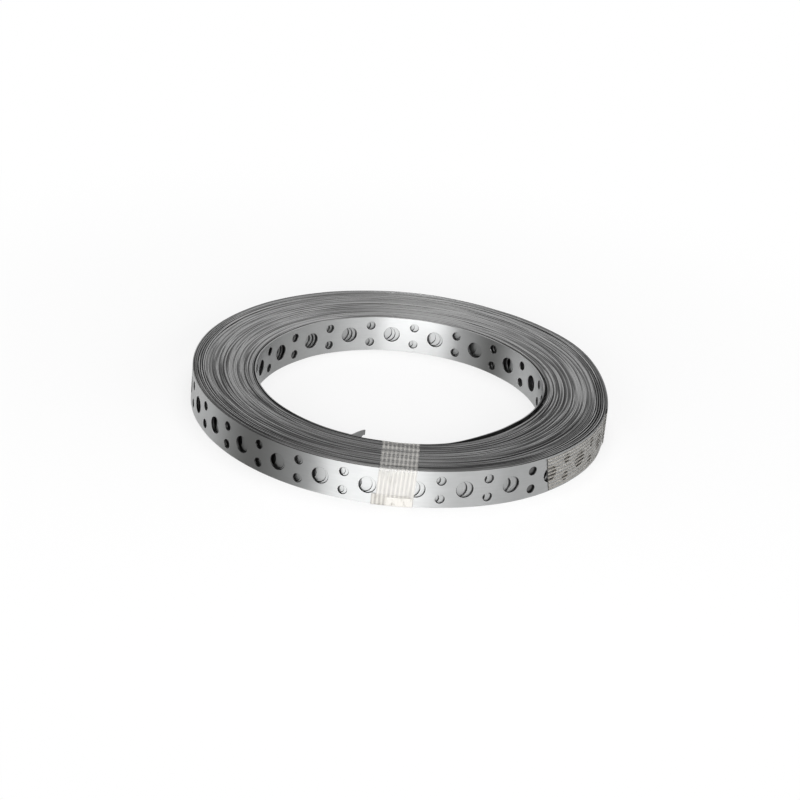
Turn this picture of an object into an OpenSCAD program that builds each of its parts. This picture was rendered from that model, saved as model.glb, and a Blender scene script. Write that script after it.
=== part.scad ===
// Roll of perforated steel strap, lying flat, held by two pieces of strand-reinforced tape.
// The coil's axis is Z and the roll lies on z = 0. Directions are angles from +X, counter-clockwise
// as seen from above. The strap winds outwards clockwise, from a bent inner end to a taped outer end.

/* [Strap] */
// Width of the strap, which is the height of the roll
strap_w = 20; // [16:1:30]
// Thickness of the strap
strap_t = 0.7; // [0.5:0.05:1]
// Diameter of the large holes
big_hole_d = 8.5; // [6:0.5:10]
// Diameter of the small holes
small_hole_d = 4.5; // [3:0.5:5]
// Distance between the two small holes of a pair, across the strap
pair_spread = 10; // [8:0.5:11]
// Distance along the strap from one large hole to the next
hole_pitch = 24.5; // [20:0.5:30]
// How far each pair lies past the middle between its two large holes
pair_shift = 0.1; // [0:0.1:1]

/* [Roll] */
// Outside diameter of the roll
roll_d = 223.6; // [190:0.2:260]
// Number of turns
turns = 42; // [30:1:50]
// Mean play between one turn and the next
turn_play = 0.12; // [0.06:0.02:0.2]
// Depth of the lines that part the turns on both end faces
line_depth = 0.5; // [0.2:0.1:2]
// Direction of one large hole of the outermost turn
outer_hole_at = -83.7; // [-100:0.1:-70]
// Direction of one large hole of the innermost turn
inner_hole_at = 95.6; // [80:0.1:110]

/* [Outer end] */
// Direction of the outer end of the strap
outer_end_at = -8; // [-20:1:10]
// Angle over which the step below the outer end fades out
outer_fade = 40; // [30:1:60]

/* [Inner end] */
// Direction at which the inner end leaves the wall of the bore
inner_end_at = -107.5; // [-115:0.5:-104]
// Length of the straight part of the inner end
tab_len = 9.4; // [6:0.2:16]
// Angle by which the inner end is bent away from the wall
tab_bend = 58; // [30:1:80]
// Radius of that bend, to the middle of the strap
tab_bend_r = 2; // [1:0.5:4]
// Distance from the middle of the last small holes to the end of the strap
end_past_holes = 1; // [0:0.1:2]

/* [Loose turn] */
// Widest gap behind the loose stretch of the innermost turn
loose_gap = 2.6; // [1:0.1:5]
// Direction of the middle of the loose stretch
loose_at = -33; // [-40:1:-20]
// Half the angle that the loose stretch takes up
loose_half = 40; // [30:1:45]

/* [Tape] */
// Width of the tape
tape_w = 19; // [12:1:19]
// Thickness of the tape
tape_t = 0.3; // [0.2:0.05:0.5]
// Direction of the tie, the tape wrapped round all the turns
tie_at = -88.2; // [-92:0.1:-84]
// Width over both laps of the tie at the foot of the roll
lap_w = 29; // [20:1:34]
// Height up to which the second lap of the tie shows on the outside
lap_h = 9; // [4:1:14]
// Side play of the tie where it passes under the roll
tie_play = 0.2; // [0.1:0.1:1]
// Direction in which the tape over the outer end starts
end_tape_starts_at = -47.5; // [-55:0.5:-40]
// Direction in which the tape over the outer end stops
end_tape_stops_at = 30; // [20:1:40]

/* [Hidden] */
$fn = 180;

steel = "#a9abad";
tape_tint = "#d8d6cc";

past = 1;                                 // how far a cutter runs past what it cuts
root = 0.5;                               // how far the loose stretch and the inner end run into the roll
seat = 0.05;                              // how deep the inner end's faces lie in the wall where it starts
bend_steps = 8;                           // flats round the bend of the inner end
turn_pitch = strap_t + turn_play;
roll_r = roll_d / 2;
bore_r = roll_r - turns * turn_pitch + turn_play;
second_r = bore_r + turn_pitch;           // inner face of the second turn
mid_z = strap_w / 2;
outer_edge = asin(big_hole_d / roll_r);   // holes keep this far from the strap's outer end
inner_edge = asin(big_hole_d / bore_r);   // and this far from its bend near the inner end

function dir(a) = [cos(a), sin(a), 0];

// Angle taken up by a length along the strap, on a wall of radius r
function along_wall(len, r) = 360 * len / (2 * PI * r);

// Every direction between two limits that is a whole number of steps away from at
function spaced(from, to, at, step) = [for (i = [ceil((from - at) / step):floor((to - at) / step)]) at + i * step];

// A circle that is r from the axis in one direction, and r + drop at fade degrees to either side of it,
// has a radius of r + off_axis() and its centre off_axis() away from the axis
function off_axis(r, drop, fade) = (2 * r * drop + drop * drop) / (2 * (r - (r + drop) * cos(fade)));

// Distance of that circle from the axis, turn degrees away from the direction where it is r
function off_circle(r, drop, fade, turn) = let (s = off_axis(r, drop, fade))
    sqrt(pow(r + s, 2) - pow(s * sin(turn), 2)) - s * cos(turn);

module off_disc(r, drop, fade, at, h) {
    s = off_axis(r, drop, fade);
    translate(-s * dir(at)) cylinder(r = r + s, h = h);
}

// A wedge from the axis outwards, between two directions less than 180 degrees apart
module wedge(from, to, h) {
    reach = 2 * roll_r;
    rim = [for (i = [0:4]) let (a = from + (to - from) * i / 4) [reach * cos(a), reach * sin(a)]];
    linear_extrude(h) polygon(concat([[0, 0]], rim));
}

module tube(outer_r, inner_r, h) {
    difference() {
        cylinder(r = outer_r, h = h);
        translate([0, 0, -past]) cylinder(r = inner_r, h = h + 2 * past);
    }
}

// Section through all the turns, with a line between each two of them at both ends
module turned_section() {
    foot = [for (k = [0:turns - 1]) let (r = bore_r + k * turn_pitch)
        each concat([[r, 0], [r + strap_t, 0]],
            k < turns - 1 ? [[r + strap_t, line_depth], [r + turn_pitch, line_depth]] : [])];
    head = [for (i = [len(foot) - 1:-1:0]) [foot[i][0], strap_w - foot[i][1]]];
    polygon(concat(foot, head));
}

// One round cutter at height z that runs outwards from radius from_r to radius to_r
module radial_hole(at, z, d, from_r, to_r) {
    rotate([0, 0, at]) translate([from_r, 0, z]) rotate([0, 90, 0]) cylinder(d = d, h = to_r - from_r);
}

// The two small holes of a pair
module radial_pair(at, from_r, to_r) {
    for (side = [-1, 1]) radial_hole(at, mid_z + side * pair_spread / 2, small_hole_d, from_r, to_r);
}

// How far the outer wall lies below roll_r, which is one turn's pitch just short of the outer end
function outer_drop(at) = let (turn = at - outer_end_at + outer_fade)
    turn < 0 ? 0 : roll_r - off_circle(roll_r, -turn_pitch, outer_fade, turn);

// Holes through the outermost turn, one turn back from the outer end
module outer_holes() {
    step = along_wall(hole_pitch, roll_r);
    pair_at = outer_hole_at + along_wall(hole_pitch / 2 + pair_shift, roll_r);
    low = outer_end_at - 360 + outer_edge;
    high = outer_end_at - outer_edge;
    for (a = spaced(low, high, outer_hole_at, step))
        radial_hole(a, mid_z, big_hole_d, roll_r - strap_t - outer_drop(a), roll_r + past);
    for (a = spaced(low, high, pair_at, step))
        radial_pair(a, roll_r - strap_t - outer_drop(a), roll_r + past);
}

// Holes through the innermost turn, one turn on from the inner end
module inner_holes() {
    step = along_wall(hole_pitch, bore_r);
    pair_at = inner_hole_at - 360 + along_wall(hole_pitch / 2 + pair_shift, bore_r);
    low = inner_end_at - 360 + inner_edge;
    high = inner_end_at - inner_edge;
    near_r = bore_r - loose_gap - strap_t - past;
    for (a = spaced(low, high, inner_hole_at - 360, step))
        radial_hole(a, mid_z, big_hole_d, near_r, bore_r + strap_t);
    for (a = spaced(low, high, pair_at, step))
        radial_pair(a, near_r, bore_r + strap_t);
}

// What the outer wall lacks short of the outer end, where the strap lies one turn lower
module outer_step() {
    translate([0, 0, -past]) difference() {
        wedge(outer_end_at - outer_fade, outer_end_at, strap_w + 2 * past);
        off_disc(roll_r, -turn_pitch, outer_fade, outer_end_at - outer_fade, strap_w + 2 * past);
    }
}

// What the wall of the bore lacks past the inner end: one turn, as far as the tie that presses all together
module inner_step() {
    translate([0, 0, -past]) intersection() {
        wedge(inner_end_at, tie_at - asin(tape_w / 2 / bore_r), strap_w + 2 * past);
        cylinder(r = second_r, h = strap_w + 2 * past);
    }
}

// Room for the loose stretch, with the gap behind it
module loose_room() {
    translate([0, 0, -past]) intersection() {
        wedge(loose_at - loose_half, loose_at + loose_half, strap_w + 2 * past);
        cylinder(r = second_r, h = strap_w + 2 * past);
    }
}

// The stretch of the innermost turn that stands off the second turn in a flatter arc
module loose_stretch() {
    mid_r = second_r - loose_gap;
    intersection() {
        wedge(loose_at - loose_half - root, loose_at + loose_half + root, strap_w);
        cylinder(r = second_r + turn_play, h = strap_w);
        difference() {
            off_disc(mid_r, loose_gap, loose_half, loose_at, strap_w);
            s = off_axis(mid_r, loose_gap, loose_half);
            translate(-s * dir(loose_at) - [0, 0, past]) cylinder(r = mid_r + s - strap_t, h = strap_w + 2 * past);
        }
    }
}

// Plan of the bent inner end, from inside the wall, round the bend and along the straight part
module bent_plan() {
    turn = [for (i = [0:bend_steps]) tab_bend * i / bend_steps];
    along = [-sin(tab_bend), cos(tab_bend)];
    side = function(r) concat([[r, -root]], [for (a = turn) r * [cos(a), sin(a)]],
        [r * [cos(tab_bend), sin(tab_bend)] + tab_len * along]);
    far = side(tab_bend_r + strap_t / 2);
    near = side(tab_bend_r - strap_t / 2);
    polygon(concat(far, [for (i = [len(near) - 1:-1:0]) near[i]]));
}

// The inner end of the strap, bent into the bore and cut across a pair of small holes
module bent_end() {
    rotate([0, 0, inner_end_at]) translate([bore_r + seat + strap_t / 2 - tab_bend_r, root / 2, 0]) difference() {
        linear_extrude(strap_w) bent_plan();
        rotate([0, 0, tab_bend])
            for (side = [-1, 1])
                translate([tab_bend_r - strap_t, tab_len - end_past_holes, mid_z + side * pair_spread / 2])
                    rotate([0, 90, 0]) cylinder(d = small_hole_d, h = 2 * strap_t);
    }
}

// A straight band of width w across the section of the roll, in the direction of the tie
module tie_band(w, low_z, high_z) {
    rotate([0, 0, tie_at]) translate([bore_r / 2, -w / 2, low_z]) cube([roll_r, w, high_z - low_z]);
}

// The tie's room under the roll, as deep as the tape is thick, so that the roll lies level
module tie_groove() {
    tie_band(lap_w + 2 * tie_play, -past, tape_t);
}

module strap_roll() {
    color(steel) difference() {
        union() {
            difference() {
                rotate_extrude() turned_section();
                outer_step();
                inner_step();
                loose_room();
            }
            loose_stretch();
            bent_end();
        }
        outer_holes();
        inner_holes();
        tie_groove();
    }
}

// One lap right round the section, and the second lap, which lies askew at the foot
module tie_tape() {
    color(tape_tint) difference() {
        union() {
            intersection() {
                tie_band(tape_w, 0, strap_w + tape_t);
                tube(roll_r + tape_t, bore_r - tape_t, strap_w + tape_t);
            }
            intersection() {
                tie_band(lap_w, 0, lap_h);
                tube(roll_r + tape_t, bore_r - tape_t, lap_h);
                tie_foot();
            }
        }
        translate([0, 0, tape_t]) tube(roll_r, bore_r, strap_w - tape_t);
    }
}

// Everything outside the bore wall, and the whole foot, which the second lap may cover
module tie_foot() {
    cylinder(r = roll_r + past, h = tape_t);
    tube(roll_r + past, (roll_r + bore_r) / 2, lap_h);
}

// Tape stuck along the outermost turn, over the outer end
module end_tape() {
    color(tape_tint) translate([0, 0, (strap_w - tape_w) / 2]) intersection() {
        tube(roll_r + tape_t, roll_r, tape_w);
        wedge(end_tape_starts_at, end_tape_stops_at, tape_w);
    }
}

strap_roll();
tie_tape();
end_tape();
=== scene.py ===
import math

import bmesh
import bpy
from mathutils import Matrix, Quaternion, Vector


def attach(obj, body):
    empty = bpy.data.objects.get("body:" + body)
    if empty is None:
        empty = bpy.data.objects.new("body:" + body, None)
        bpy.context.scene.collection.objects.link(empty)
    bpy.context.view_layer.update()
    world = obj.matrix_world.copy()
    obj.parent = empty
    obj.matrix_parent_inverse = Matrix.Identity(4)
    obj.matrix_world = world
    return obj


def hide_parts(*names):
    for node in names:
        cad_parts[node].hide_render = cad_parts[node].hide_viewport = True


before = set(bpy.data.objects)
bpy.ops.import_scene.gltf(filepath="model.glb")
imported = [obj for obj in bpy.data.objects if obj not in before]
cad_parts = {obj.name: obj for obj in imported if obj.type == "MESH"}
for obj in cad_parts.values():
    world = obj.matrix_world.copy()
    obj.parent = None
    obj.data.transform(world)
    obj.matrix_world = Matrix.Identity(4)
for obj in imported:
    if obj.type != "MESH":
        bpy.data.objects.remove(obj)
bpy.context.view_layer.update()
mm = 0.001
print("frame loaded")


# Node graphs that are written as expressions
class Value:
    def __init__(self, graph, socket):
        self.graph, self.socket = graph, socket

    def other(self, name):                      # another output of the same node
        return Value(self.graph, self.socket.node.outputs[name])

    def calc(self, operation, *values):
        return self.graph.add("ShaderNodeMath", {"operation": operation}, dict(enumerate(values)))

    def __add__(self, b): return self.calc("ADD", self, b)
    def __sub__(self, b): return self.calc("SUBTRACT", self, b)
    def __mul__(self, b): return self.calc("MULTIPLY", self, b)
    def __truediv__(self, b): return self.calc("DIVIDE", self, b)
    def __pow__(self, b): return self.calc("POWER", self, b)
    def __gt__(self, b): return self.calc("GREATER_THAN", self, b)
    def __lt__(self, b): return self.calc("LESS_THAN", self, b)
    def __rsub__(self, b): return self.calc("SUBTRACT", b, self)
    def __neg__(self): return self.calc("MULTIPLY", self, -1)
    __radd__, __rmul__ = __add__, __mul__


class Graph:
    def __init__(self, tree):
        self.tree = tree

    def add(self, kind, settings=None, inputs=None, out=0):
        node = self.tree.nodes.new(kind)
        for name, value in (settings or {}).items():
            if name == "curve":                 # (x, y) pairs of a float curve
                line = node.mapping.curves[0]
                for x, y in value[1:-1]:
                    line.points.new(x, y)
                line.points[0].location, line.points[-1].location = value[0], value[-1]
                node.mapping.update()
            else:
                setattr(node, name, value)
        for name, value in (inputs or {}).items():
            for part in value if isinstance(value, list) else [value]:
                if isinstance(part, Value):
                    self.tree.links.new(part.socket, node.inputs[name])
                else:
                    node.inputs[name].default_value = part
        return Value(self, node.outputs[out])

    def vector(self, x, y, z):
        return self.add("ShaderNodeCombineXYZ", None, {0: x, 1: y, 2: z})

    def parts(self, vector):
        x = self.add("ShaderNodeSeparateXYZ", None, {0: vector})
        return x, x.other("Y"), x.other("Z")

    def noise(self, place, scale, detail):
        return self.add("ShaderNodeTexNoise", None, {"Vector": place, "Scale": scale, "Detail": detail})

    def remap(self, value, low, high, first=0, last=1, kind="LINEAR"):
        return self.add("ShaderNodeMapRange", {"interpolation_type": kind}, {
            0: value, 1: low, 2: high, 3: first, 4: last})

    def curve(self, value, points, high):
        # in mm, through points that run from x = 0 and stay below high
        far = points[-1][0]
        line = [(x / far, y / high) for x, y in points]
        return self.add("ShaderNodeFloatCurve", {"curve": line}, {"Value": value / far}) * (high * mm)

    def read(self, name):
        return self.add("ShaderNodeAttribute", {"attribute_name": name}, None, "Fac")

    def store(self, geometry, name, value):
        return self.add("GeometryNodeStoreNamedAttribute", {"data_type": "FLOAT", "domain": "POINT"}, {
            "Geometry": geometry, "Name": name, "Value": value})

    def paint(self, geometry, material, where=True):
        return self.add("GeometryNodeSetMaterial", None, {
            "Geometry": geometry, "Selection": where, "Material": material})

    def smooth(self, geometry):
        return self.add("GeometryNodeSetShadeSmooth", {"domain": "FACE"}, {
            "Geometry": geometry, "Shade Smooth": True})

    def mix(self, amount, first, second):
        return self.add("ShaderNodeMix", {"data_type": "RGBA"}, {0: amount, 6: first, 7: second}, 2)


def newMaterial(name):
    material = bpy.data.materials.new(name)
    material.use_nodes = True
    material.node_tree.nodes.clear()
    return material, Graph(material.node_tree)


def closeMaterial(g, shader):
    g.tree.links.new(shader.socket, g.tree.nodes.new("ShaderNodeOutputMaterial").inputs[0])


def shapeTree(name, sizes):
    tree = bpy.data.node_groups.new(name, "GeometryNodeTree")
    tree.interface.new_socket("Geometry", in_out="INPUT", socket_type="NodeSocketGeometry")
    tree.interface.new_socket("Geometry", in_out="OUTPUT", socket_type="NodeSocketGeometry")
    for label, value in sizes.items():
        socket = tree.interface.new_socket(label, in_out="INPUT", socket_type="NodeSocketFloat")
        socket.default_value = value
    g = Graph(tree)
    start = g.add("NodeGroupInput")
    return g, {label: start.other(label) for label in sizes}


def closeTree(g, geometry):
    end = g.tree.nodes.new("NodeGroupOutput")
    g.tree.links.new(geometry.socket, end.inputs[0])


def growPiece(name, tree, sizes):
    piece = bpy.data.objects.new(name, bpy.data.meshes.new(name))
    bpy.context.scene.collection.objects.link(piece)
    grower = piece.modifiers.new("grow", "NODES")
    grower.node_group = tree
    for item in tree.interface.items_tree:
        if item.in_out == "INPUT" and item.name in sizes:
            grower[item.identifier] = float(sizes[item.name])
    grown = piece.evaluated_get(bpy.context.evaluated_depsgraph_get())
    plain = bpy.data.meshes.new_from_object(grown)
    piece.modifiers.remove(grower)
    piece.data = plain
    print(name, len(plain.polygons), "faces")
    return piece


# Camera
view = {"distance": 1286.9 * mm, "height": 25.62, "roll": 5.61, "lens": 108.2, "shift": (0.0009, 0.0109)}


def aimCamera():
    camera = bpy.data.objects.new("camera", bpy.data.cameras.new("camera"))
    bpy.context.scene.collection.objects.link(camera)
    height = math.radians(view["height"])
    back = Vector((0, -math.cos(height), math.sin(height)))
    camera.location = back * view["distance"]
    roll = Quaternion((0, 0, 1), math.radians(view["roll"]))
    camera.rotation_mode = "QUATERNION"
    camera.rotation_quaternion = (-back).to_track_quat("-Z", "Y") @ roll
    camera.data.sensor_width, camera.data.lens = 36, view["lens"]
    camera.data.shift_x, camera.data.shift_y = view["shift"]
    camera.data.clip_start, camera.data.clip_end = 0.01, 20
    bpy.context.scene.camera = camera


aimCamera()
print("camera aimed")


# Strap: flat runs of punched or plain strap, laid end to end and wound up
strap = {
    "width": 20 * mm, "thickness": 0.62 * mm, "pitch": 24.5 * mm,
    "largeHole": 8.5 * mm, "smallHole": 4.5 * mm, "pairSpread": 10 * mm, "pairShift": 0.1 * mm,
    "rim": 0.24 * mm, "rimDrop": 0.16 * mm,     # rounding of the holes, and how far it sits low in them
    "pastRim": 0.1 * mm,                        # how far its cutter runs past it
    "bendRadius": 2 * mm, "bend": 65, "tab": 8.2 * mm, "bow": 0.9 * mm,         # the bent inner end
    "tabFlats": 24, "pastHoles": 1 * mm,        # from its cut to the middle of its two holes
    "columns": 10,                              # flats along one pitch
    "plainFlats": 144,                          # flats round one plain turn
    "lead": 0.0206,                             # turns before the first pitch
    # punched runs: pitches and degrees per pitch, from the inner end outwards
    "innerRuns": [(14, 18.117), (6, 17.69), (9, 17.93), (2, 19.68), (3, 17.93), (6, 17.35),
                  (14, 17.93)],
    "outerRuns": [(20, 12.37), (14, 12.263), (6, 12.37), (9, 12.32), (14, 12.127), (5, 13.1),
                  (24, 12.556)],
    "flatSide": 0.97, "slitSide": 0.49,         # how straight a flat side faces, and how far out a slit is
    "sharp": 35,                                # degrees from which a corner stays sharp
}
coil = {
    "innerEnd": -107.5, "outerEnd": -9.3, "turns": 42,
    "innerRadius": 77.8 * mm, "outerRadius": 111.45 * mm,     # to the middle of the strap
    "innerCentre": (-0.69 * mm, -3.43 * mm),
    # lumps and hollows: direction in degrees, tightness, how far out
    "innerLumps": [(-30, 9.7, -2.4 * mm)],
    "outerLumps": [(12, 25, -2.0 * mm), (-3, 34, -1.3 * mm), (-56, 22, 1.0 * mm)],
    "hollows": [(-28, 12, -0.15 * mm)], "hollowUntil": 1.35,  # room behind the outermost turn
    # turn, and how far it stands into the bore, in mm
    "looseTurn": [(0, 0.9), (0.2, 0.7), (0.45, 0.5), (0.6, 0.9), (0.7, 1.5), (0.78, 1.9), (0.826, 2.8),
                  (0.86, 2.2), (0.885, 0.9), (0.915, 0.1), (0.945, 0.15), (0.965, 0.8), (1, 0.7),
                  (1.05, 0)],
    # turns before the outer end, and how far they lie in, in mm
    "springOut": [(0, 0), (0.95, 0), (1.2, 0.2), (1.55, 0.25), (1.74, 0.15), (1.82, 0.2), (1.9, 0.25),
                  (1.98, 0.25), (2.1, 0.2), (2.5, 0.3)],
    "crowding": 0.3 * mm, "jitter": 0.2 * mm,   # of turns in groups, and of each turn
    "uneven": 0.8 * mm, "seed": 4,              # how far the turns ride up
    "slope": 0.16,                              # of the slit edges
    "brightTurns": 4.6,                         # outermost turns whose outside is left without the painted shade
    "shadeStretch": (2.02, 1.87),                # but painted shade again between these, in turns before the outer end
    "tieAt": -88.2, "tieRoom": 0.16 * mm,
    "grip": (2, 0.8), "calm": (2.5, 0.75), "press": (60, 0.5),        # tightness and strength at the tie
}
coil["length"] = coil["turns"] + (coil["innerEnd"] - coil["outerEnd"]) / 360


def punchedPitch(g, size):
    # one pitch of strap, standing on its edge along X, with a large hole and a pair
    box = g.add("GeometryNodeMeshCube", None, {
        "Size": g.vector(size["Pitch"], size["Thickness"], size["Width"]),
        "Vertices X": strap["columns"] + 1, "Vertices Y": 2, "Vertices Z": 2})
    box = g.add("GeometryNodeTransform", None, {
        "Geometry": box, "Translation": g.vector(size["Pitch"] * 0.25, 0, size["Width"] * 0.5)})
    punches = []
    pairAt = size["Pitch"] * 0.5 + size["Pair shift"]
    rim, over = strap["rim"], strap["pastRim"]
    for x, drop, hole, sides in ((0, 0, size["Large hole"], 32), (pairAt, 0.5, size["Small hole"], 20),
                                 (pairAt, -0.5, size["Small hole"], 20)):
        punch = g.add("GeometryNodeMeshCylinder", None, {
            "Vertices": sides, "Radius": hole * 0.5, "Depth": size["Thickness"] * 4})
        sink = g.add("GeometryNodeMeshCone", None, {
            "Vertices": sides, "Radius Bottom": hole * 0.5 - over, "Radius Top": hole * 0.5 + rim + over,
            "Depth": rim + 2 * over})
        sink = g.add("GeometryNodeTransform", None, {
            "Geometry": sink, "Translation": g.vector(0, 0, size["Thickness"] * 0.5 - rim - over)})
        other = g.add("GeometryNodeTransform", None, {"Geometry": sink, "Rotation": (math.pi, 0, 0)})
        for cutter, sag in ((punch, 0), (sink, strap["rimDrop"]), (other, strap["rimDrop"])):
            punches.append(g.add("GeometryNodeTransform", None, {
                "Geometry": cutter, "Rotation": (math.radians(-90), 0, 0),
                "Translation": g.vector(x, 0, size["Width"] * 0.5 + size["Pair spread"] * drop - sag)}))
    return g.add("GeometryNodeMeshBoolean", {"operation": "DIFFERENCE", "solver": "EXACT"}, {
        "Mesh 1": box, "Mesh 2": punches})


def layRun(g, size, pitchMesh, pitches, fromTurn, degrees):
    # pitches end to end, welded, with their length turned into turns round the coil
    line = g.add("GeometryNodeMeshLine", None, {"Count": pitches, "Offset": g.vector(size["Pitch"], 0, 0)})
    row = g.add("GeometryNodeInstanceOnPoints", None, {"Points": line, "Instance": pitchMesh})
    row = g.add("GeometryNodeRealizeInstances", None, {"Geometry": row})
    x, y, z = g.parts(g.add("GeometryNodeInputPosition"))
    along = x / size["Pitch"] + 0.25
    seam = (along.calc("PINGPONG", along, 0.5) < 0.001) * (along > 0.5) * (along < pitches - 0.5)
    row = g.add("GeometryNodeDeleteGeometry", {"domain": "FACE"}, {"Geometry": row, "Selection": seam})
    row = g.add("GeometryNodeMergeByDistance", None, {"Geometry": row, "Distance": 0.002 * mm})
    return g.add("GeometryNodeSetPosition", None, {
        "Geometry": row, "Position": g.vector(along * (degrees / 360) + fromTurn, y, z)})


def plainRun(g, size, fromTurn, toTurn):
    flats = round((toTurn - fromTurn) * strap["plainFlats"])
    row = g.add("GeometryNodeMeshCube", None, {
        "Size": g.vector(toTurn - fromTurn, size["Thickness"], size["Width"]),
        "Vertices X": flats + 1, "Vertices Y": 2, "Vertices Z": 2})
    return g.add("GeometryNodeTransform", None, {
        "Geometry": row, "Translation": g.vector((fromTurn + toTurn) / 2, 0, size["Width"] * 0.5)})


def bentEnd(g, size):
    # the inner end, still flat, cut off across a pair of small holes
    length = strap["tab"] + strap["bendRadius"] * math.radians(strap["bend"])
    row = g.add("GeometryNodeMeshCube", None, {
        "Size": g.vector(length, size["Thickness"], size["Width"]),
        "Vertices X": strap["tabFlats"] + 1, "Vertices Y": 2, "Vertices Z": 2})
    row = g.add("GeometryNodeTransform", None, {
        "Geometry": row, "Translation": g.vector(-length / 2, 0, size["Width"] * 0.5)})
    bites = []
    for drop in (0.5, -0.5):
        punch = g.add("GeometryNodeMeshCylinder", None, {
            "Vertices": 24, "Radius": size["Small hole"] * 0.5, "Depth": size["Thickness"] * 4})
        bites.append(g.add("GeometryNodeTransform", None, {
            "Geometry": punch, "Rotation": (math.radians(90), 0, 0), "Translation": g.vector(
                strap["pastHoles"] - length, 0, size["Width"] * 0.5 + size["Pair spread"] * drop)}))
    row = g.add("GeometryNodeMeshBoolean", {"operation": "DIFFERENCE", "solver": "EXACT"}, {
        "Mesh 1": row, "Mesh 2": bites})
    x, y, z = g.parts(g.add("GeometryNodeInputPosition"))
    return g.add("GeometryNodeSetPosition", None, {
        "Geometry": row, "Position": g.vector(x / (2 * math.pi * coil["innerRadius"]), y, z)})


def lump(angle, at, tightness):
    # 1 in one direction, and falling off softly to both sides of it
    return angle.calc("EXPONENT", (angle.calc("COSINE", angle - math.radians(at)) - 1) * tightness)


def lumps(angle, spots):
    return sum(lump(angle, at, tightness) * amount for at, tightness, amount in spots)


def atTie(angle, name):
    tightness, strength = coil[name]
    return lump(angle, coil["tieAt"], tightness) * strength


def coilAngle(turn):
    return math.radians(coil["innerEnd"]) - turn * (2 * math.pi)


def ringNoise(g, angle, size, step, detail):
    # closes up round the coil; step is how far it has changed, turn by turn
    place = g.vector(angle.calc("COSINE", angle) * size, angle.calc("SINE", angle) * size, step)
    return g.noise(place, 1, detail)


def coilRadius(g, turn, angle):
    # to the middle of the strap, and how much of the way from the bore to the outside it is
    share = turn.calc("MINIMUM", turn.calc("MAXIMUM", turn / coil["length"], 0), 1)
    loose = g.curve(turn, coil["looseTurn"], 3)
    sprung = g.curve(coil["length"] - turn, coil["springOut"], 2) * share
    radius = (coil["innerRadius"] + (coil["outerRadius"] - coil["innerRadius"]) * share - loose - sprung
              + lumps(angle, coil["innerLumps"]) * (1 - share) + lumps(angle, coil["outerLumps"]) * share)
    behind = (turn < coil["length"] - coil["hollowUntil"]) * (share ** 3)
    radius = radius + lumps(angle, coil["hollows"]) * behind
    crowd = ringNoise(g, angle, 1.4, turn * 0.45, 1) - 0.5
    jitter = ringNoise(g, angle, 1.1, turn * 2.7 + 50, 1) - 0.5
    free = (1 - atTie(angle, "grip")) * share * (1 - share) * 4
    return radius + (crowd * coil["crowding"] + jitter * coil["jitter"]) * free, share


def windUp(g, row):
    # x counts turns from the inner end, y is off the middle of the strap, z is up
    x, off, up = g.parts(g.add("GeometryNodeInputPosition"))
    turn = x.calc("MAXIMUM", x, 0)
    angle = coilAngle(turn)
    radius, share = coilRadius(g, turn, angle)
    # before the start the strap bends away from the wall
    past = x.calc("MAXIMUM", -x, 0) * (2 * math.pi * coil["innerRadius"])
    swing = x.calc("MINIMUM", past / strap["bendRadius"], math.radians(strap["bend"]))
    swingCos, swingSin = x.calc("COSINE", swing), x.calc("SINE", swing)
    straight = past - swing * strap["bendRadius"]
    along = swingSin * strap["bendRadius"] + straight * swingCos + off * swingSin
    bow = straight * (strap["tab"] - straight) * (4 * strap["bow"] / strap["tab"] ** 2)
    radius = radius - (1 - swingCos) * strap["bendRadius"] - straight * swingSin + off * swingCos - bow
    # each turn rides up a little of its own, and the tie presses them level
    lift = g.remap(ringNoise(g, angle, 1.3, turn * 3.1 + coil["seed"], 3), 0.3, 0.75)
    lift = lift * coil["uneven"] * (1 - atTie(angle, "press")) * (1 - atTie(angle, "calm"))
    lift = lift + lump(angle, coil["tieAt"], coil["press"][0]) * coil["tieRoom"]
    cosine, sine = turn.calc("COSINE", angle), turn.calc("SINE", angle)
    centreX, centreY = coil["innerCentre"]
    return g.add("GeometryNodeSetPosition", None, {"Geometry": row, "Position": g.vector(
        cosine * radius - sine * along + (1 - share) * centreX,
        sine * radius + cosine * along + (1 - share) * centreY,
        up + lift + off * (up > 0.5 * strap["width"]) * coil["slope"])})


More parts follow.
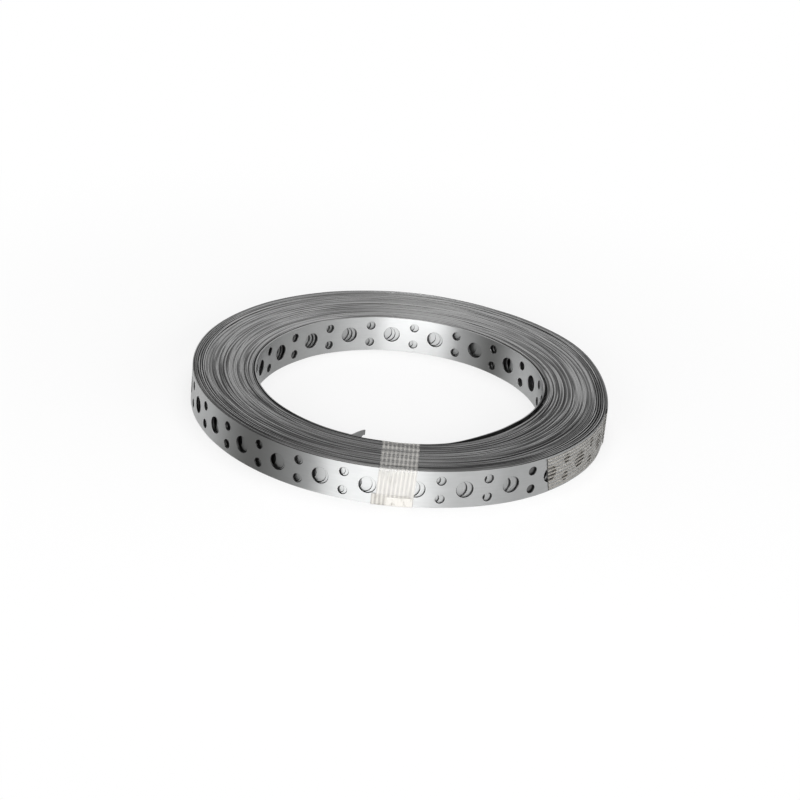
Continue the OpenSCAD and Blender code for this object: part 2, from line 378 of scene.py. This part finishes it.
def windStrap():
    names = {"Width": "width", "Thickness": "thickness", "Pitch": "pitch", "Large hole": "largeHole",
             "Small hole": "smallHole", "Pair spread": "pairSpread", "Pair shift": "pairShift"}
    sizes = {label: strap[key] for label, key in names.items()}
    g, size = shapeTree("wound strap", sizes)
    pitchMesh = punchedPitch(g, size)
    runs = [bentEnd(g, size), plainRun(g, size, 0, strap["lead"])]

    def layRuns(turn, lengths):
        for pitches, degrees in lengths:
            runs.append(layRun(g, size, pitchMesh, pitches, turn, degrees))
            turn += pitches * degrees / 360
        return turn

    inner = layRuns(strap["lead"], strap["innerRuns"])
    outer = coil["length"] - sum(pitches * degrees / 360 for pitches, degrees in strap["outerRuns"])
    runs.append(plainRun(g, size, inner, outer))
    layRuns(outer, strap["outerRuns"])
    row = g.add("GeometryNodeJoinGeometry", None, {"Geometry": runs})
    # materials go on while the strap is flat, with painted shade on the outsides of the turns
    x, z = g.parts(g.add("GeometryNodeInputPosition"))[::2]
    ny = g.parts(g.add("GeometryNodeInputNormal"))[1]
    slit = z.calc("ABSOLUTE", z / size["Width"] - 0.5) > strap["slitSide"]
    toEnd = coil["length"] - x
    begin, end = coil["shadeStretch"]
    darkening = (toEnd > coil["brightTurns"]) + (toEnd < begin) * (toEnd > end)
    row = g.paint(row, galvanised)
    row = g.paint(row, punchedSteel, ny.calc("ABSOLUTE", ny) < strap["flatSide"])
    row = g.paint(row, slitSteel, slit)
    # painted shade: the dark steel on the outsides of all but the outermost turns stands in for the shade
    # between the turns
    row = g.paint(row, paintedShadeSteel, (ny > strap["flatSide"]) * (x > 0) * darkening)
    wound = windUp(g, g.store(row, "turn", x))
    sharp = g.add("GeometryNodeInputMeshEdgeAngle") > math.radians(strap["sharp"])
    wound = g.add("GeometryNodeSetShadeSmooth", {"domain": "EDGE"}, {
        "Geometry": g.smooth(wound), "Selection": sharp, "Shade Smooth": False})
    closeTree(g, g.add("GeometryNodeRealizeInstances", None, {"Geometry": wound}))
    return growPiece("woundStrap", g.tree, sizes)


# Steel: spots on it are direction in degrees, tightness, strength
zinc = {
    "dark": (0.38, 0.386, 0.386, 1), "light": (0.57, 0.576, 0.576, 1), "roughness": 0.42,
    # painted reflection: the walls are darkened in the directions where they reflect dark surroundings
    "darkReflection": (0.15, 0.15, 0.145, 1), "darkReflectionDepth": 0.4, "outerTurns": 5,
    "outerDarkReflections": [(-130, 45, 1.9)], "innerDarkReflections": [(51, 90, 1.75), (145, 20, 1)],
    "boreLight": 0.2, "boreHighlights": [(90, 6, 0.25)],           # painted light: the wall of the bore is lightened, with a painted highlight at the back
    "proud": 0.7 * mm, "proudShade": 0.8,        # painted shade on what stands above the next turn
    "tabDarker": 0.5,                             # the bent inner end is darker
    "dents": 0.2 * mm,
}
edges = {
    # darkest and lightest tone, roughness, metallic; the painted-shade steel is painted shade on the
    # outsides of the turns, between the turns
    # punched steel is near black: partly its own bare colour, partly painted shade in the holes
    "slitSteel": (0.04, 0.42, 0.65, 0.45), "punchedSteel": (0.02, 0.06, 0.5, 1),
    "paintedShadeSteel": (0.042, 0.125, 0.5, 1),
    "contrast": 1.25, "spread": (0.42, 0.57), "lift": 0.18,
    "deep": (0.135, 0.185), "deepTone": 0.15, "deepStep": 0.382,          # painted shade: about every third turn is dark, as if it lay deep between its neighbours
    # calm lowers the contrast between turns by direction, where the light washes it out; light adds painted
    # highlights and sheen by direction, and painted shade where it is negative
    "calm": [(90, 1.3, 0.75), (-85, 2, 0.2), (180, 4, -0.3), (-25, 8, -0.15)],
    "light": [(-85, 1.5, 0.04), (175, 3, 0.25), (130, 3, 0.1), (80, 12, 0.3), (66, 6, 0.13),
              (104, 14, -0.13)],
    "outer": (13, 8),                           # turns before the outer end, where these come in
    # painted light and painted shade on the edges of the outer turns, by direction round the coil
    "outerLight": [(-22, 4, 0.3), (180, 5, 0.12)], "outerShade": [(-92, 2, 0.25)],
    "darkEdgeTurns": 1.1, "darkEdge": 0.7,          # the outermost edge is darker
}


def galvanisedSteel():
    material, g = newMaterial("galvanisedSteel")
    place = g.add("ShaderNodeTexCoord", None, None, "Object")
    turn = g.read("turn")
    angle = coilAngle(turn)
    z = g.parts(place)[2]
    mottle = g.noise(place, 90, 4) * 0.6 + g.noise(g.vector(turn * 55, z * 900, 2.0), 1, 3) * 0.4
    # painted light on the wall of the bore, with a painted highlight band at the back
    paintedBoreLight = (turn < 1) * (lumps(angle, zinc["boreHighlights"]) + zinc["boreLight"])
    outer, inner = turn > zinc["outerTurns"], turn < zinc["outerTurns"]
    # painted reflection: dark patches on the outer wall and on the wall of the bore
    darkReflection = lumps(angle, zinc["outerDarkReflections"]) * outer + lumps(angle, zinc["innerDarkReflections"]) * inner
    covered = (turn > 1.1) * (turn < coil["length"] - 1)
    # painted shade: the strip that stands above the next turn is darkened
    proud = (z > strap["width"] - zinc["proud"]) * covered
    # painted reflection and painted shade darken the zinc, and the bent inner end is darker
    darkening = darkReflection * zinc["darkReflectionDepth"] + (turn < 0) * zinc["tabDarker"] + proud * zinc["proudShade"]
    tint = g.mix(darkening, g.mix(mottle + paintedBoreLight, zinc["dark"], zinc["light"]), zinc["darkReflection"])
    relief = g.add("ShaderNodeBump", None, {
        "Strength": 0.25, "Distance": zinc["dents"], "Height": g.noise(place, 45, 1)}, "Normal")
    closeMaterial(g, g.add("ShaderNodeBsdfPrincipled", None, {
        "Base Color": tint, "Metallic": 1.0, "Roughness": mottle * 0.12 + zinc["roughness"],
        "Anisotropic": 0.95, "Anisotropic Rotation": 0.25, "Normal": relief}))
    return material


def stripEdges(name):
    # slit and punched edges, and the painted shade between the turns: no zinc, each turn with its own tone
    material, g = newMaterial(name)
    dark, light, roughness, metal = edges[name]
    turn = g.read("turn")
    angle, swept = coilAngle(turn), turn * (2 * math.pi)
    fine, broad = ringNoise(g, swept, 1.5, turn * 1.5, 1), ringNoise(g, swept, 1.2, turn * 0.35 + 9, 2)
    tone = g.remap(fine * 0.85 + broad * 0.15, *edges["spread"]) + edges["lift"]
    deep = ringNoise(g, swept, 1.1, turn * 1.3 + 47, 0) * 0.45
    deep = deep + turn.calc("COSINE", swept * edges["deepStep"]) * 0.07
    # painted shade on the turns that would lie deep
    tone = tone * g.remap(deep, *edges["deep"], edges["deepTone"])
    # painted light: contrast and brightness of the edges change by direction round the coil
    tone = (tone - 0.5) * (1 - lumps(angle, edges["calm"])) * edges["contrast"] + 0.5
    tone = tone + lumps(angle, edges["light"])
    tone = tone * (1 - (turn > coil["length"] - edges["darkEdgeTurns"]) * edges["darkEdge"])
    begin, full = edges["outer"]
    outside = g.remap(turn, coil["length"] - begin, coil["length"] - full)
    # painted highlights and painted shade on the outer turns
    tone = tone + outside * lumps(angle, edges["outerLight"])
    tone = tone * (1 - outside * lumps(angle, edges["outerShade"]))
    closeMaterial(g, g.add("ShaderNodeBsdfPrincipled", None, {
        "Base Color": g.mix(tone, (dark, dark, dark, 1), (light, light, light, 1)),
        "Metallic": metal, "Roughness": roughness - tone * 0.12}))
    return material


galvanised = galvanisedSteel()
slitSteel, punchedSteel = stripEdges("slitSteel"), stripEdges("punchedSteel")
paintedShadeSteel = stripEdges("paintedShadeSteel")
print("steel mixed")
wound = windStrap()
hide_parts("strap_roll")
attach(wound, "root")


# Tapes: clear film with strands, as a flat band that follows a path
tape = {
    "width": 19 * mm, "film": 0.06 * mm, "rib": 0.05 * mm, "strands": 9, "stepsPerStrand": 6,
    "strandEdge": (0.45, 0.8),                  # from the film up to the top of a strand
}
tie = {
    "at": coil["tieAt"], "inner": 81.35 * mm, "outer": 111.86 * mm, "foot": 0.02 * mm, "top": 20.44 * mm,
    "corner": 0.6 * mm, "steps": 170, "gap": 1 * mm,          # left open where the whole lap ends
    "layer": 0.09 * mm,                         # from one lap to the next
    "crinkle": 0.08 * mm, "creases": (420, 260), "creaseFrom": 0.42,
    # width is a share of the tape's, cover says how well it hides what is under it, and skew how far
    # it lies askew at the foot; short laps start at a height outside and climb a share of the inside
    "laps": [{"width": 1, "cover": 1, "skew": -1.8 * mm},
             {"width": 1, "cover": 1.6, "skew": -3.7 * mm, "height": 5.8 * mm, "climb": 0.6},
             {"width": 0.68, "cover": 6, "skew": 0.9 * mm, "height": 4.4 * mm, "climb": 0.4}],        # torn
}
endTape = {
    "from": -46.1, "to": 30, "foot": 0.5 * mm, "steps": 150, "ripple": 0.05 * mm,
    "standOff": 0.2 * mm, "standFrom": -40, "standTo": 0,     # of its upper edge, near the cut
    "cut": 2, "cutShadowWidth": 0.3,                   # degrees that the cut leans, and that the painted shadow along it takes
    "step": 3.5,                                # degrees to come down past the end of the strap
}


def flatTape(g, size, steps):
    band = g.add("GeometryNodeMeshCube", None, {
        "Size": g.vector(size["Length"], size["Width"], size["Film"]), "Vertices X": steps,
        "Vertices Y": tape["strands"] * tape["stepsPerStrand"] + 1, "Vertices Z": 2})
    x, y, z = g.parts(g.add("GeometryNodeInputPosition"))
    lanes = (y / size["Width"] + 0.5) * tape["strands"]
    strand = g.remap(lanes.calc("PINGPONG", lanes, 0.5) * 2, *tape["strandEdge"])
    return g.add("GeometryNodeSetPosition", None, {
        "Geometry": g.store(band, "strand", strand),
        "Position": g.vector(x + size["Length"] * 0.5, y, z + strand * (z > 0) * size["Rib"])})


def closeTape(g, band, film):
    band = g.add("GeometryNodeRealizeInstances", None, {"Geometry": g.smooth(band)})
    closeTree(g, g.paint(band, film))


def tieTape():
    deep, tall = tie["outer"] - tie["inner"], tie["top"] - tie["foot"]
    sizes = {"Width": tape["width"], "Film": tape["film"], "Rib": tape["rib"], "Crinkle": tie["crinkle"]}
    g, size = shapeTree("tie", sizes)
    # each loop runs out over the top, down the outside, back under the roll and up the inside
    bands, far, corner = [], 2 * (deep + tall), deep + tall
    turn = math.radians(tie["at"])
    for lap, form in enumerate(tie["laps"]):
        if "height" in form:
            begin, end = corner - form["height"], far - (1 - form["climb"]) * tall
            leanFrom, leanTo = 0, deep
        else:
            begin, end = 0, far - tie["gap"]
            leanFrom, leanTo = 0.2 * deep, corner
        grow = lap * tie["layer"]
        inner, outer, top = tie["inner"] - grow, tie["outer"] + grow, tie["top"] + grow
        loop = g.add("GeometryNodeCurvePrimitiveQuadrilateral", {"mode": "POINTS"}, {
            "Point 1": (0, inner, top), "Point 2": (0, outer, top),
            "Point 3": (0, outer, tie["foot"]), "Point 4": (0, inner, tie["foot"])})
        loop = g.add("GeometryNodeFilletCurve", {"mode": "POLY"}, {
            "Curve": loop, "Radius": tie["corner"], "Count": 4})
        lapSize = {**size, "Length": end - begin, "Width": size["Width"] * form["width"]}
        band = flatTape(g, lapSize, round(tie["steps"] * (end - begin) / far))
        s, across, off = g.parts(g.add("GeometryNodeInputPosition"))
        s = s + begin
        spot = g.add("GeometryNodeSampleCurve", {"mode": "LENGTH", "use_all_curves": True}, {
            "Curves": loop, "Length": s}, "Position")
        r, z = g.parts(spot)[1:]
        aheadR, aheadZ = g.parts(spot.other("Tangent"))[1:]
        lean = g.remap(s, leanFrom, leanTo) - g.remap(s, corner + tie["gap"], corner + deep)
        across = across + lean * form["skew"]
        creaseX, creaseY = tie["creases"]
        crease = g.noise(g.vector(across * creaseX, s * creaseY, lap * 7.0), 1, 2) - tie["creaseFrom"]
        low = g.remap(s, deep + 0.4 * tall, deep + 0.9 * tall) * (s < corner)
        off = off + low * crease.calc("MAXIMUM", crease, 0) * size["Crinkle"] * 3
        r = r - aheadZ * off
        z = z + aheadR * off
        r = r.calc("SQRT", r * r - across * across)
        bands.append(g.add("GeometryNodeSetPosition", None, {
            "Geometry": g.store(band, "cover", form["cover"]), "Position": g.vector(
                r * math.cos(turn) - across * math.sin(turn),
                r * math.sin(turn) + across * math.cos(turn), z)}))
    closeTape(g, g.add("GeometryNodeJoinGeometry", None, {"Geometry": bands}), tieFilm)
    return growPiece("tieTape", g.tree, sizes)


def outerEndTape():
    turns = (endTape["to"] - endTape["from"]) / 360
    sizes = {"Length": turns, "Width": tape["width"], "Film": tape["film"], "Rib": tape["rib"]}
    g, size = shapeTree("end tape", sizes)
    band = flatTape(g, size, endTape["steps"])
    s, up, off = g.parts(g.add("GeometryNodeInputPosition"))
    high = up / size["Width"] + 0.5
    lean = (0.5 - high) * (1 - s / size["Length"]) * math.radians(endTape["cut"])
    angle = s * (2 * math.pi) + math.radians(endTape["from"]) + lean
    band = g.store(band, "cover", 1.0)
    band = g.store(band, "edge", s * (2 * math.pi) < math.radians(endTape["cutShadowWidth"]))
    strapEnd = math.radians(coil["outerEnd"])
    past = g.remap(angle, strapEnd - math.radians(endTape["step"]), strapEnd, 1, 0, "SMOOTHSTEP")
    turn = (strapEnd - angle) / (2 * math.pi) + coil["length"]
    under, over = coilRadius(g, turn - 1, angle)[0], coilRadius(g, turn, angle)[0]
    stand = g.remap(angle, math.radians(endTape["standFrom"]), math.radians(endTape["standTo"]), 1, 0)
    ripple = g.noise(g.vector(s * 40, high * 1.5, 3.0), 1, 2)
    radius = (over + (under - over) * past + strap["thickness"] / 2 + size["Film"] + off
              + high * high * stand * endTape["standOff"] + ripple * endTape["ripple"])
    z = up + size["Width"] * 0.5 + endTape["foot"]
    closeTape(g, g.add("GeometryNodeSetPosition", None, {"Geometry": band, "Position": g.vector(
        radius.calc("COSINE", angle) * radius, radius.calc("SINE", angle) * radius, z)}), endFilm)
    return growPiece("endTape", g.tree, sizes)


clearTape = {
    "film": (0.66, 0.645, 0.62, 1), "strand": (0.68, 0.665, 0.635, 1),
    "filmAlpha": 0.07, "strandAlpha": 0.4,
    "breaks": 0.8,                              # how much the film differs from place to place
}
dustyTape = {
    "film": (0.235, 0.222, 0.2, 1), "strand": (0.355, 0.338, 0.308, 1),
    "filmAlpha": 0.08, "strandAlpha": 0.6, "breaks": 0,
}
tapeWear = {
    # cut is the colour of a painted shadow along the cut end of the tape
    "grime": (0.22, 0.205, 0.18, 1), "cut": (0.03, 0.03, 0.03, 1), "cutShadowAlpha": 0.6,
    "bridge": (0.45, 0.6),                      # of the noise, where the strands sink in
    "foot": (7 * mm, 1 * mm), "smudge": (0.56, 0.72), "smudgeGrime": 0.75, "smudgeAlpha": 0.25,
    # flat on the wall it hides more, and across the turns it catches light in rows
    "wall": (19.6 * mm, 18.6 * mm), "wallGrime": 0.13, "wallAlpha": 0.36,
    "rowStep": 6 * mm, "row": (0.22, 0.36), "rowAlpha": 0.22,
    "lapGrime": 0.4, "tornGrime": -0.15,        # short laps are greyer, the torn one less so
    "shortCover": 1.1, "tornCover": 3,          # they cover better than this
}


def strandTape(name, look):
    material, g = newMaterial(name)
    place = g.add("ShaderNodeTexCoord", None, None, "Object")
    x, y, z = g.parts(place)
    strand, cover, edge = g.read("strand"), g.read("cover"), g.read("edge")
    breaks, wear = look["breaks"], tapeWear
    dirt = g.noise(place, 160, 3)
    bridge = g.remap(g.noise(g.vector(x * 60, y * 420, z * 60), 1, 2), *wear["bridge"]) * breaks
    smudge = g.remap(g.noise(place, 480, 2), *wear["smudge"]) * g.remap(z, *wear["foot"]) * breaks
    wall = g.remap(z, *wear["wall"]) * breaks
    rows = x.calc("PINGPONG", y / wear["rowStep"] + dirt * 0.3, 0.5)
    rows = g.remap(rows, *wear["row"]) * (1 - wall) * breaks
    lapGrime = (cover > wear["tornCover"]) * wear["tornGrime"] + wear["lapGrime"]
    grime = (smudge * wear["smudgeGrime"] + wall * wear["wallGrime"]
             + (cover > wear["shortCover"]) * lapGrime)
    tint = g.mix(grime, g.mix(strand, look["film"], look["strand"]), wear["grime"])
    solid = (strand * (look["strandAlpha"] - look["filmAlpha"]) * (1 - bridge) + look["filmAlpha"]
             + wall * wear["wallAlpha"] + rows * wear["rowAlpha"] + edge * wear["cutShadowAlpha"]
             + (dirt - 0.5) * (0.12 * breaks) + smudge * wear["smudgeAlpha"])
    closeMaterial(g, g.add("ShaderNodeBsdfPrincipled", None, {
        # painted shadow along the cut end
        "Base Color": g.mix(edge, tint, wear["cut"]), "Roughness": dirt * 0.2 + 0.25, "IOR": 1.46,
        "Alpha": cover.calc("MINIMUM", solid * cover, 1)}))
    return material


tieFilm = strandTape("clearTape", clearTape)
endFilm = strandTape("dustyTape", dustyTape)
for piece, node in ((tieTape(), "tie_tape"), (outerEndTape(), "end_tape")):
    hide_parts(node)
    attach(piece, "root")


# Studio
studio = {
    "floor": 6, "paper": 0.9, "white": (0.7, 1),
    "shadow": (0.1, 0.4),                       # metres out, between which the floor gets whiter
    "world": 0.096, "distance": 1.8,
    # direction and height in degrees, width and height in metres, watts
    "panels": [("frontPanel", -99, 15, 1.74, 1.0, 41), ("frontRightPanel", -58, 18, 1.17, 1.0, 9.2),
               ("rightPanel", -7, 22, 2.25, 1.0, 8.6), ("leftBackPanel", 145, 22, 1.3, 1.0, 4.7),
               ("topPanel", 60, 80, 1.6, 1.6, 19)],
}


def paleFloor():
    material, g = newMaterial("paleFloor")
    shade = studio["paper"]
    paper = g.add("ShaderNodeBsdfPrincipled", None, {
        "Base Color": (shade, shade, shade, 1), "Roughness": 0.9})
    seen = g.add("ShaderNodeLightPath", None, None, "Is Camera Ray")
    seen = seen.calc("MAXIMUM", seen.calc("MAXIMUM", seen, seen.other("Is Glossy Ray")),
                     seen.other("Is Transmission Ray"))
    x, y = g.parts(g.add("ShaderNodeTexCoord", None, None, "Object"))[:2]
    far = g.remap(x.calc("SQRT", x * x + y * y), *studio["shadow"], *studio["white"], "SMOOTHSTEP")
    white = g.add("ShaderNodeEmission", None, {"Strength": 1.0})
    closeMaterial(g, g.add("ShaderNodeMixShader", None, {0: seen * far, 1: paper, 2: white}))
    return material


def makeFloor():
    floorMesh = bpy.data.meshes.new("floor")
    form = bmesh.new()
    bmesh.ops.create_grid(form, x_segments=1, y_segments=1, size=studio["floor"])
    form.to_mesh(floorMesh)
    form.free()
    floor = bpy.data.objects.new("floor", floorMesh)
    bpy.context.scene.collection.objects.link(floor)
    floor.data.materials.append(paleFloor())


def addPanel(name, azimuth, height, width, tall, power):
    light = bpy.data.lights.new(name, "AREA")
    light.shape, light.size, light.size_y, light.energy = "RECTANGLE", width, tall, power
    panel = bpy.data.objects.new(name, light)
    bpy.context.scene.collection.objects.link(panel)
    turn, rise = math.radians(azimuth), math.radians(height)
    out = Vector((math.cos(turn) * math.cos(rise), math.sin(turn) * math.cos(rise), math.sin(rise)))
    panel.location = out * studio["distance"]
    panel.rotation_mode = "QUATERNION"
    panel.rotation_quaternion = out.to_track_quat("Z", "Y")


def lightWorld():
    world = bpy.data.worlds.new("studio")
    bpy.context.scene.world = world
    world.use_nodes = True
    background = world.node_tree.nodes["Background"]
    background.inputs["Color"].default_value = (1, 1, 1, 1)
    background.inputs["Strength"].default_value = studio["world"]


makeFloor()
lightWorld()
for panel in studio["panels"]:
    addPanel(*panel)
bpy.context.scene.view_settings.view_transform = "Standard"
print("studio lit")
